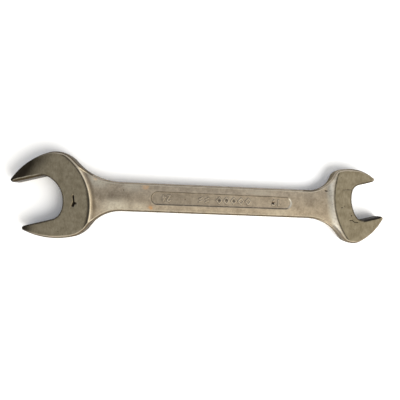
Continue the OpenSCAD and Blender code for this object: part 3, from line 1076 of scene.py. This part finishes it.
    def fine_boxes(self) -> list[tuple[Box, float]]:
        """Boxes that need a dense net, each with its pitch: round the marks and round each blemish.

        Returns:
            The boxes; a blemish among the marks has none of its own.
        """
        boxes = [((x0, x1, -2.4, 2.4), self.mark_pitch) for x0, x1 in self.marks.spans()]
        for spot in self.blemishes:
            x0, x1, y0, y1 = spot.box()
            middle = np.array([[(x0 + x1) / 2, (y0 + y1) / 2]])
            if not any(in_box(middle, box)[0] for box, _ in boxes):
                boxes.append((spot.box(), self.pit_pitch))
        return boxes

    def head_rings(self, head: Head) -> Points:
        """Arcs of points along a head's back, wherever its groove, rim and cove turn.

        Args:
            head: The head.

        Returns:
            The arcs' points.
        """
        lead = [-head.rim_w - gap for gap in (1.1, 0.85, 0.65, 0.45, 0.25, 0.1)]
        rim = [head.rim_w * (t - 1.0) for t in np.linspace(0.0, 1.0, 7)]
        cove = [head.cove_r * (1.0 - math.cos(a)) for a in np.linspace(0.25, math.pi / 2, 10)]
        centre = head.world(head.back())
        middle = math.atan2(*(head.at - centre)[::-1])
        rings = []
        for q in lead + rim + [0.03] + cove:
            radius = head.back_r - head.rim_off + q
            angles = np.arange(-1.25, 1.25, 0.36 / radius) + middle
            rings.append(centre + radius * np.c_[np.cos(angles), np.sin(angles)])
        points = np.vstack(rings)
        return points[head.is_near(points)]

    def field_points(self, border: Points) -> Points:
        """Inner points of a face: a coarse net, and denser ones wherever the relief turns.

        Args:
            border: The face's closed edge.

        Returns:
            Points inside the border, none too near it.
        """
        (x0, y0), (x1, y1) = border.min(0), border.max(0)
        whole = (x0, x1, y0, y1)
        boxes = self.fine_boxes()

        def clear(points: Points, gap: float) -> Points:
            """Which points are clear of the dense nets."""
            return ~np.any([in_box(points, box, gap) for box, _ in boxes], axis=0)

        coarse = net(whole, self.coarse_pitch)
        d = self.panel.distance(coarse)
        keep = clear(coarse, 0.3) & ((d < -1.0) | (d > 1.1))
        for head in (self.large, self.small):
            q = head.from_back(coarse)
            keep &= ~(head.is_near(coarse) & (q > -head.rim_w - 1.3) & (q < head.cove_r + 0.4))
        coarse = coarse[keep]
        sets = [coarse[polygon_distance(coarse, border) < -0.55]]

        wall = self.panel.wall
        on_wall = [-wall * share for share in (1.0, 0.75, 0.5, 0.25)]
        for offset in [-0.8, -wall - 0.14] + on_wall + [0.0, 0.2, 0.45, 0.8]:
            ring = self.panel.ring(offset, self.step)
            sets.append(ring[clear(ring, 0.1)])
        for head in (self.large, self.small):
            ring = self.head_rings(head)
            ring = ring[clear(ring, 0.1) & in_box(ring, whole)]
            sets.append(ring[polygon_distance(ring, border) < -0.14])
        for box, pitch in boxes:
            points = net(box, pitch)
            sets.append(points[polygon_distance(points, border) < -0.25])
        return np.vstack(sets)

    def broken_edge(self) -> BrokenEdge:
        """The outline with its edge's sizes and masks.

        Returns:
            The edge, eased where one kind meets the next and a little uneven, as a trimmed forging is.
        """
        points, kinds = self.outline()
        tangent = np.roll(points, -1, axis=0) - np.roll(points, 1, axis=0)
        tangent /= np.hypot(tangent[:, 0], tangent[:, 1])[:, None]
        outward = np.c_[tangent[:, 1], -tangent[:, 0]]

        def along(name: str) -> Points:
            """One value of the edge's break for each outline point, eased where its kind changes."""
            raw = np.array([getattr(BREAKS[k], name) for k in kinds])
            kernel = np.hanning(13)
            kernel /= kernel.sum()
            return np.convolve(np.r_[raw[-6:], raw, raw[:6]], kernel, mode="valid")

        x, y = points.T
        dirt_and_shade = along("dirt_and_shade")
        # Forged edges of a head that face away from the handle are sharper, and painted shade makes them
        # darker, with a weaker highlight, than the rest of the head's edge.
        forged = np.array([not k.is_jaw() for k in kinds])
        beyond = np.where(x < 0.0, x < self.large.at[0] + 22.0, x > self.small.at[0] - 16.0)
        turned = np.where(x < 0.0, outward[:, 0], -outward[:, 0])
        shown = np.where(forged & beyond, smooth(turned, -0.55, 0.0), 1.0)
        bright = np.array([k is Edge.BRIGHT_BEVEL for k in kinds])
        shade_and_tarnish = np.where(bright, 0.0, np.maximum(self.shade_and_tarnish(points), 0.4 * (1.0 - shown)))
        # The painted shade on the sides is weaker under the small head's shoulders and along the handle's
        # upper edge.
        flank = 1.0 - 0.75 * bump(x, 72.0, 14.0) * smooth(np.abs(y), 7.5, 10.0)
        flank = flank * (1.0 - 0.45 * ((np.abs(x) < 58.0) & (y > 0.0)))
        lump = 1.0 + 0.12 * waves(points, 3.0, 6.0)
        # The horns' painted shade runs onto the edge, and the dark bevel's edge is painted nearly black as
        # shade.
        return BrokenEdge(
            points=points, outward=outward, kinds=kinds,
            soft=along("soft") * lump * (0.6 + 0.4 * shown), drop=along("drop") * lump,
            flash=along("flash"), draft=along("draft"), wear_and_sheen=along("wear_and_sheen") * (0.15 + 0.85 * shown),
            dirt_and_shade=dirt_and_shade, shade_and_tarnish=np.maximum(shade_and_tarnish, 0.92 * smooth(dirt_and_shade, 0.5, 0.9)), flank=flank,
        )

    def fill(self, border: Points) -> tuple[Points, list[tuple[int, ...]], list[int]]:
        """Fills a face's border with triangles.

        Args:
            border: The face's closed edge.

        Returns:
            The points, the triangles, and where each point of the border is among the points.
        """
        count = len(border)
        plane = np.vstack([border, self.field_points(border)])
        loop = [(i, (i + 1) % count) for i in range(count)]
        made = delaunay_2d_cdt([Vector(p) for p in plane.tolist()], loop, [list(range(count))], 1, 1e-6, True)
        flat = np.array([tuple(v) for v in made[0]])
        faces = [tuple(f) for f in made[2]]
        place = {s: index for index, sources in enumerate(made[3]) for s in sources if s < count}
        on_border = np.zeros(len(flat), bool)
        on_border[list(place.values())] = True
        corners = np.array(faces)
        outer = np.flatnonzero(on_border[corners].all(1))
        stray = set(outer[polygon_distance(flat[corners[outer]].mean(1), border) > 0.0].tolist())
        faces = [face for i, face in enumerate(faces) if i not in stray]
        LOG.info("outline %d points, face %d points, %d triangles", count, len(flat), len(faces))
        return flat, faces, [place[i] for i in range(count)]

    def side_rings(self, edge: BrokenEdge, h: Points, sign: float) -> list[tuple[Points, PatinaAndLight]]:
        """Rings of points from the middle of the side up to the face's border.

        Args:
            edge: The broken edge.
            h: The face's half thickness at each point of the edge.
            sign: 1 for the upper half of the side, -1 for the lower.

        Returns:
            Each ring's points with its masks.
        """
        count = len(h)
        low = np.maximum(h - edge.drop, 0.7)
        start = edge.flash + edge.draft
        rings = [
            (np.zeros(count), np.full(count, 0.1), 0.0, 1.0),
            (edge.flash * 0.6, np.full(count, 0.24), 0.0, 1.0),
            (edge.flash, np.full(count, FLASH_HALF_T), 0.0, 1.0),
            (edge.flash + edge.draft * 0.5, FLASH_HALF_T + (low - FLASH_HALF_T) * 0.5, 0.0, 1.0),
            (start, low, 0.0, 1.0),
        ]
        # Rings near the top of the rounding get a painted highlight, and the steep rings below them get the
        # painted shade of the sides.
        for degrees in ROUNDING:
            a = math.radians(degrees)
            worn_and_lit = float(bump(np.array(degrees), 81.0, 16.0))
            flank = 1.0 - float(smooth(np.array(degrees), 54.0, 76.0))
            rings.append((start + (edge.soft - start) * (1.0 - math.cos(a)), low + (h - low) * math.sin(a),
                          worn_and_lit, flank))
        out = []
        for inward, z, worn_and_lit, flank in rings:
            patina_and_light = PatinaAndLight(count)
            patina_and_light.lay(Mask.WEAR_AND_SHEEN, worn_and_lit * edge.wear_and_sheen)
            patina_and_light.lay(Mask.GRIME_AND_SHADE, edge.dirt_and_shade * max(flank, 0.6 * worn_and_lit))
            patina_and_light.lay(Mask.SHADE_AND_TARNISH, edge.shade_and_tarnish)
            patina_and_light.lay(Mask.FLANK, flank * edge.flank)
            out.append((np.c_[edge.inward(self.inset + inward), self.mid_z + sign * z], patina_and_light))
        return out

    def build(self) -> bpy.types.Object:
        """Makes the forging's mesh object.

        Returns:
            The object, linked to the scene, with a material slot number on every face.
        """
        self.place()
        edge = self.broken_edge()
        count = len(edge.points)
        flat, faces, border = self.fill(edge.inward(self.inset + edge.soft))
        centre = flat[np.array(faces)].mean(1)
        ground = np.zeros(len(faces), bool)
        for head in (self.large, self.small):
            ground |= head.is_near(centre) & (head.from_back(centre) < -head.rim_w - 0.02)

        rings: list[tuple[Points, PatinaAndLight]] = []
        tops: list[tuple[Points, PatinaAndLight]] = []
        polys: list[tuple[int, ...]] = []
        skins: list[int] = []
        for upper, sign in ((True, 1.0), (False, -1.0)):
            h, patina_and_light = self.relief(flat, upper)
            first = 0 if upper else len(flat)
            tops.append((np.c_[flat, self.mid_z + sign * h], patina_and_light))
            polys += [tuple(first + i for i in (face if upper else face[::-1])) for face in faces]
            skins += [int(Skin.FACE if is_ground else Skin.PLATE) for is_ground in ground]
            rings += self.side_rings(edge, h[border], sign)

        base, half = 2 * len(flat), len(rings) // 2
        loops = [[base + r * count + i for i in range(count)] for r in range(len(rings))]
        stack = [[len(flat) + i for i in border]] + loops[:half - 1:-1] + loops[:half] + [border]
        jaw = [k.is_jaw() for k in edge.kinds]
        for rank, (lower, upper_loop) in enumerate(zip(stack, stack[1:])):
            plated = min(rank, len(stack) - 2 - rank) < len(ROUNDING)
            for i in range(count):
                j = (i + 1) % count
                polys.append((lower[i], lower[j], upper_loop[j], upper_loop[i]))
                skins.append(int(Skin.JAW if jaw[i] and jaw[j] else Skin.PLATE if plated else Skin.FLANK))

        layers = tops + rings
        mesh = bpy.data.meshes.new("spanner_forging")
        mesh.from_pydata((np.vstack([points for points, _ in layers]) * MM).tolist(), [], polys)
        mesh.polygons.foreach_set("material_index", skins)
        for mask in Mask:
            attribute = mesh.attributes.new(mask.value, "FLOAT", "POINT")
            values = np.concatenate([patina_and_light.layers[mask] for _, patina_and_light in layers])
            attribute.data.foreach_set("value", values.astype(np.float32))
        mesh.polygons.foreach_set("use_smooth", [True] * len(polys))
        mesh.set_sharp_from_angle(angle=math.radians(48.0))
        mesh.validate()
        mesh.update()
        piece = bpy.data.objects.new("spanner_forging", mesh)
        bpy.context.scene.collection.objects.link(piece)
        return piece


# ---------------------------------------------------------------- finishes


def linear(colour: str) -> tuple[float, float, float, float]:
    """Turns an sRGB hex colour to linear.

    Args:
        colour: The colour, as #rrggbb.

    Returns:
        Linear red, green and blue, and an alpha of 1.
    """
    parts = [int(colour.lstrip("#")[i:i + 2], 16) / 255.0 for i in (0, 2, 4)]
    r, g, b = (c / 12.92 if c <= 0.04045 else ((c + 0.055) / 1.055) ** 2.4 for c in parts)
    return r, g, b, 1.0


def add(tree: bpy.types.NodeTree, kind: str, settings: dict | None = None,
        links: dict | None = None) -> bpy.types.Node:
    """Adds a node with its settings and links.

    Args:
        tree: The node tree.
        kind: The node's type.
        settings: Values by property name, or by input name or number.
        links: Output sockets by input name or number.

    Returns:
        The node.
    """
    node = tree.nodes.new(kind)
    for key, value in (settings or {}).items():
        if isinstance(key, str) and hasattr(node, key) and key not in node.inputs:
            setattr(node, key, value)
        else:
            node.inputs[key].default_value = value
    for key, socket in (links or {}).items():
        tree.links.new(socket, node.inputs[key])
    return node


@dataclass(frozen=True)
class MetalFinish:
    """A metal surface: its colours, their blotches, its grain, what rubbing and old oil do to it, and the
    painted highlights and shade laid on it.

    Attributes:
        light: Colour where the surface is palest.
        dark: Colour where it is darkest.
        blotch_mm: Size of the broad blotches.
        grain_mm: Size of the fine grain. The real one is finer than the render shows, so it is coarser here.
        grain_depth_mm: Depth of the grain.
        smooth_roughness: Roughness in the grain's hollows.
        dull_roughness: Roughness on its tops.
        stretch: How the grain is drawn out, along X, Y and Z.
        worn_and_lit: Colour where the surface is rubbed bright, also used for painted highlights.
        side: Colour of the painted shade on the steep sides.
        dirt_and_shade: Colour of old oil and grease, also used for painted shade.
        rust: Colour of rust.
        pit_mm: Distance between small pits.
        pit_share: Size of a pit as a share of that.
    """

    name: str
    light: str
    dark: str
    blotch_mm: float
    grain_mm: float
    grain_depth_mm: float
    smooth_roughness: float
    dull_roughness: float
    stretch: tuple[float, float, float] = (1.0, 1.0, 1.0)
    worn_and_lit: str = "#e8e0cc"
    side: str = "#3f3526"
    dirt_and_shade: str = "#1d170f"
    rust: str = "#b07a3c"
    metallic: float = 0.9
    pit_mm: float = 3.0
    pit_share: float = 0.06

    def material(self) -> bpy.types.Material:
        """Makes the node material.

        Returns:
            The material, which reads the forging's masks.
        """
        material = bpy.data.materials.new(self.name)
        material.use_nodes = True
        tree = material.node_tree
        tree.nodes.clear()
        place = add(tree, "ShaderNodeTexCoord").outputs["Object"]
        long = add(tree, "ShaderNodeMapping", {"Scale": self.stretch}, {"Vector": place}).outputs["Vector"]

        def spots(vector: bpy.types.NodeSocket, size_mm: float, detail: float, rough: float = 0.55):
            """Noise with lumps of a real size."""
            return add(tree, "ShaderNodeTexNoise", {"Scale": 1.0 / (size_mm * MM), "Detail": detail,
                                                    "Roughness": rough}, {"Vector": vector}).outputs["Fac"]

        def ramp(value: bpy.types.NodeSocket, low: float, high: float, a: float = 0.0, b: float = 1.0):
            """A value mapped from low..high to a..b and held at the ends."""
            return add(tree, "ShaderNodeMapRange", {"From Min": low, "From Max": high, "To Min": a,
                                                    "To Max": b}, {"Value": value}).outputs["Result"]

        def maths(operation: str, a: bpy.types.NodeSocket, b: bpy.types.NodeSocket | float):
            """Two values put together by a maths node, held to 0..1."""
            links = {0: a} if isinstance(b, float) else {0: a, 1: b}
            settings = {"operation": operation, "use_clamp": True}
            if isinstance(b, float):
                settings[1] = b
            return add(tree, "ShaderNodeMath", settings, links).outputs[0]

        def blend(factor: bpy.types.NodeSocket, a: str | bpy.types.NodeSocket, b: str | bpy.types.NodeSocket):
            """A colour between two."""
            settings, links = {"data_type": "RGBA"}, {0: factor}
            for key, colour in ((6, a), (7, b)):
                if isinstance(colour, str):
                    settings[key] = linear(colour)
                else:
                    links[key] = colour
            return add(tree, "ShaderNodeMix", settings, links).outputs[2]

        def mask(name: str) -> bpy.types.NodeSocket:
            """One of the forging's own masks."""
            return add(tree, "ShaderNodeAttribute", {"attribute_name": name}).outputs["Fac"]

        broad = ramp(spots(place, self.blotch_mm, 3.0), 0.36, 0.64)
        grain = spots(long, self.grain_mm, 4.0, 0.65)
        tone = maths("ADD", maths("MULTIPLY", broad, 0.5), maths("MULTIPLY", ramp(grain, 0.36, 0.64), 0.5))
        colour = blend(tone, self.dark, self.light)
        cells = add(tree, "ShaderNodeTexVoronoi", {"Scale": 1.0 / (self.pit_mm * MM)}, {"Vector": place})
        pits = ramp(cells.outputs["Distance"], self.pit_share, self.pit_share * 1.8, 1.0, 0.0)
        some = ramp(spots(place, self.pit_mm * 4.0, 1.0), 0.5, 0.58)
        pits = maths("MULTIPLY", pits, some)
        patchy = ramp(spots(place, 1.4, 3.0), 0.3, 0.6, 0.35, 1.0)
        worn_and_lit = maths("MULTIPLY", mask("wear_and_sheen"), patchy)
        dirt_and_shade = maths("MULTIPLY", mask("grime_and_shade"), ramp(spots(place, 0.9, 2.0), 0.25, 0.5, 0.45, 1.0))
        dirt_and_shade = maths("MAXIMUM", dirt_and_shade, maths("MULTIPLY", pits, 0.6))
        rust = maths("MULTIPLY", mask("rust"), ramp(spots(place, 1.3, 3.0), 0.35, 0.6, 0.3, 0.8))
        # Painted shade on the steep sides, then rubbed metal and painted highlights, rust, and last painted
        # shade together with the dark of old oil and pits.
        colour = blend(maths("MULTIPLY", mask("flank"), 0.9), colour, self.side)
        colour = blend(worn_and_lit, colour, self.worn_and_lit)
        colour = blend(rust, colour, self.rust)
        colour = blend(mask("shade_and_tarnish"), colour, self.dirt_and_shade)
        colour = blend(dirt_and_shade, colour, self.dirt_and_shade)
        rough = ramp(grain, 0.25, 0.75, self.smooth_roughness, self.dull_roughness)
        rough = maths("ADD", rough, maths("MULTIPLY", maths("MAXIMUM", dirt_and_shade, rust), 0.25))
        rough = maths("SUBTRACT", rough, maths("MULTIPLY", worn_and_lit, 0.08))
        metal = ramp(maths("MAXIMUM", dirt_and_shade, rust), 0.0, 1.0, self.metallic, 0.35)
        height = maths("SUBTRACT", grain, maths("MULTIPLY", pits, 0.5))
        normal = add(tree, "ShaderNodeBump", {"Strength": 1.0, "Distance": self.grain_depth_mm * MM},
                     {"Height": height}).outputs["Normal"]
        shader = add(tree, "ShaderNodeBsdfPrincipled", {}, {
            "Base Color": colour, "Roughness": rough, "Metallic": metal, "Normal": normal,
        })
        add(tree, "ShaderNodeOutputMaterial", {}, {"Surface": shader.outputs["BSDF"]})
        return material


# Nickel plate ground flat on the head faces: an olive-grey bloom over a fine matt grain.
GROUND_PLATE = MetalFinish(
    name="nickel_plated_steel_ground", light="#aca28c", dark="#877d67", blotch_mm=3.5, grain_mm=0.7,
    grain_depth_mm=0.02, smooth_roughness=0.36, dull_roughness=0.52, stretch=(1.0, 0.35, 1.0),
)
# The same plate over a tumbled forging: warmer, lighter and mottled where the steel below is uneven.
TUMBLED_PLATE = MetalFinish(
    name="nickel_plated_steel_tumbled", light="#cfc1ab", dark="#a09280", blotch_mm=4.0, grain_mm=0.9,
    grain_depth_mm=0.03, smooth_roughness=0.34, dull_roughness=0.5,
)
# Plate on the trimmed forging's sides: dull and uneven, with a dark brown tone that is painted shade, the
# shadowed floor mirrored in the steep sides.
TRIMMED_SIDE = MetalFinish(
    name="nickel_plated_steel_side_shaded", light="#8d8164", dark="#63583f", blotch_mm=3.0, grain_mm=0.6,
    grain_depth_mm=0.04, smooth_roughness=0.45, dull_roughness=0.65,
)
# Jaw faces broached through the plate: bare steel, darkened by oil, with fine upright tool lines.
BROACHED_JAW = MetalFinish(
    name="alloy_steel_broached", light="#8d8470", dark="#5f5646", blotch_mm=4.0, grain_mm=0.45,
    grain_depth_mm=0.01, smooth_roughness=0.4, dull_roughness=0.52, stretch=(1.0, 1.0, 0.4),
)


@dataclass
class Spanner:
    """The spanner as shown: its one forging, dressed in its four finishes."""

    forging: Forging = field(default_factory=Forging)
    finishes: dict[Skin, MetalFinish] = field(default_factory=lambda: {
        Skin.FACE: GROUND_PLATE, Skin.PLATE: TUMBLED_PLATE, Skin.FLANK: TRIMMED_SIDE, Skin.JAW: BROACHED_JAW,
    })

    def build(self) -> bpy.types.Object:
        """Makes the forging and ties it to the frame.

        Returns:
            The forging's object.
        """
        piece = self.forging.build()
        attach(piece, "root")
        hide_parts("large_head", "handle", "small_head")
        return piece

    def dress(self, piece: bpy.types.Object) -> None:
        """Gives each skin its finish."""
        for skin in Skin:
            piece.data.materials.append(self.finishes[skin].material())


# ---------------------------------------------------------------- stage


@dataclass
class Stage:
    """The pale floor, the soft light and the camera above the spanner.

    Attributes:
        eye: The camera's place, in millimetres.
        roll: How far it is turned about its own axis, in radians.
        yaw: How far it leans to the side, in radians.
        lens: Its focal length, in millimetres.
        sensor: Width of its sensor, in millimetres.
        floor_half: Half the floor's side, in metres.
        lamp_at: The lamp's place, in metres.
        lamp_size: Its width, in metres.
        lamp_power: Its power, in watts.
        lamp_side: The side of the room that is warmer and brighter.
        screen_side: Where a grey screen hangs over the spanner.
        cool: Light from the far side of the room.
        warm: Light from the lamp's side.
    """

    eye: tuple[float, float, float] = (-3.215, -0.298, 265.825)
    roll: float = -0.039916
    yaw: float = 0.016525
    lens: float = 42.15
    sensor: float = 36.0
    floor_half: float = 3.0
    lamp_at: tuple[float, float, float] = (0.33, -0.25, 0.41)
    lamp_size: float = 0.5
    lamp_power: float = 4.3
    lamp_side: tuple[float, float, float] = (0.65, -0.7, 0.2)
    screen_side: tuple[float, float, float] = (-0.5, 0.26, 0.95)
    cool: str = "#f0f5ff"
    warm: str = "#fff7e6"

    def floor(self) -> bpy.types.Object:
        """Makes the matt white sheet that the spanner lies on.

        Returns:
            The sheet.
        """
        s = self.floor_half
        mesh = bpy.data.meshes.new("floor")
        mesh.from_pydata([(-s, -s, 0.0), (s, -s, 0.0), (s, s, 0.0), (-s, s, 0.0)], [], [(0, 1, 2, 3)])
        sheet = bpy.data.objects.new("floor", mesh)
        bpy.context.scene.collection.objects.link(sheet)
        material = bpy.data.materials.new("white_card_matt")
        material.use_nodes = True
        shader = material.node_tree.nodes["Principled BSDF"]
        shader.inputs["Base Color"].default_value = linear("#fcfcfc")
        shader.inputs["Roughness"].default_value = 0.9
        shader.inputs["Specular IOR Level"].default_value = 0.1
        mesh.materials.append(material)
        return sheet

    def camera(self) -> bpy.types.Object:
        """Makes the camera, which looks almost straight down and is turned a little about its axis.

        Returns:
            The camera.
        """
        data = bpy.data.cameras.new("camera")
        data.lens = self.lens
        data.sensor_width = self.sensor
        camera = bpy.data.objects.new("camera", data)
        bpy.context.scene.collection.objects.link(camera)
        turn = Matrix.Rotation(self.yaw, 3, "Y") @ Matrix.Rotation(self.roll, 3, "Z")
        camera.matrix_world = Matrix.Translation(Vector(self.eye) * MM) @ turn.transposed().to_4x4()
        bpy.context.scene.camera = camera
        return camera

    def sky(self) -> None:
        """Makes a sky that is dim overhead and brightens towards the horizon and the lamp's side."""
        world = bpy.data.worlds.new("studio")
        bpy.context.scene.world = world
        world.use_nodes = True
        tree = world.node_tree
        tree.nodes.clear()
        direction = add(tree, "ShaderNodeTexCoord").outputs["Generated"]

        def towards(aim: tuple[float, float, float]) -> bpy.types.NodeSocket:
            """How far a direction agrees with this one."""
            settings = {"operation": "DOT_PRODUCT", 1: Vector(aim).normalized()}
            return add(tree, "ShaderNodeVectorMath", settings, {0: direction}).outputs["Value"]

        def ramp(value: bpy.types.NodeSocket, low: float, high: float, a: float = 0.0, b: float = 1.0,
                 kind: str = "LINEAR") -> bpy.types.NodeSocket:
            """A value mapped from low..high to a..b and held at the ends."""
            settings = {"From Min": low, "From Max": high, "To Min": a, "To Max": b,
                        "interpolation_type": kind}
            return add(tree, "ShaderNodeMapRange", settings, {"Value": value}).outputs["Result"]

        height = add(tree, "ShaderNodeSeparateXYZ", {}, {0: direction}).outputs["Z"]
        side = towards(self.lamp_side)
        level = ramp(height, 0.97, 0.2, 0.51, 1.5)
        for factor in (ramp(side, -1.0, 1.0, 0.6, 1.5),
                       ramp(towards(self.screen_side), 0.84, 0.985, 1.0, 0.5, "SMOOTHSTEP")):
            level = add(tree, "ShaderNodeMath", {"operation": "MULTIPLY"}, {0: level, 1: factor}).outputs[0]
        tint = add(tree, "ShaderNodeMix", {"data_type": "RGBA", 6: linear(self.cool), 7: linear(self.warm)},
                   {0: ramp(side, -0.15, 0.5)}).outputs[2]
        back = add(tree, "ShaderNodeBackground", {}, {"Color": tint, "Strength": level})
        add(tree, "ShaderNodeOutputWorld", {}, {"Surface": back.outputs["Background"]})

    def lamp(self) -> None:
        """Makes one broad lamp at the low right, which the metal doesn't mirror."""
        data = bpy.data.lights.new("soft_window", "AREA")
        data.shape = "DISK"
        data.size = self.lamp_size
        data.energy = self.lamp_power
        lamp = bpy.data.objects.new("soft_window", data)
        lamp.location = Vector(self.lamp_at)
        lamp.rotation_euler = lamp.location.to_track_quat("Z", "Y").to_euler()
        lamp.visible_glossy = False
        bpy.context.scene.collection.objects.link(lamp)

    def build(self) -> None:
        """Sets the stage, and shows colours as they are."""
        self.camera()
        self.floor()
        self.sky()
        self.lamp()
        bpy.context.scene.view_settings.view_transform = "Standard"


def main() -> None:
    """Builds the stage and the spanner, and reports each piece."""
    logging.basicConfig(level=logging.INFO, format="%(name)s: %(message)s", stream=sys.stdout)
    Stage().build()
    spanner = Spanner()
    piece = spanner.build()
    spanner.dress(piece)
    LOG.info("%s: %d vertices, %d faces", piece.name, len(piece.data.vertices), len(piece.data.polygons))


if __name__ == "__main__":
    main()
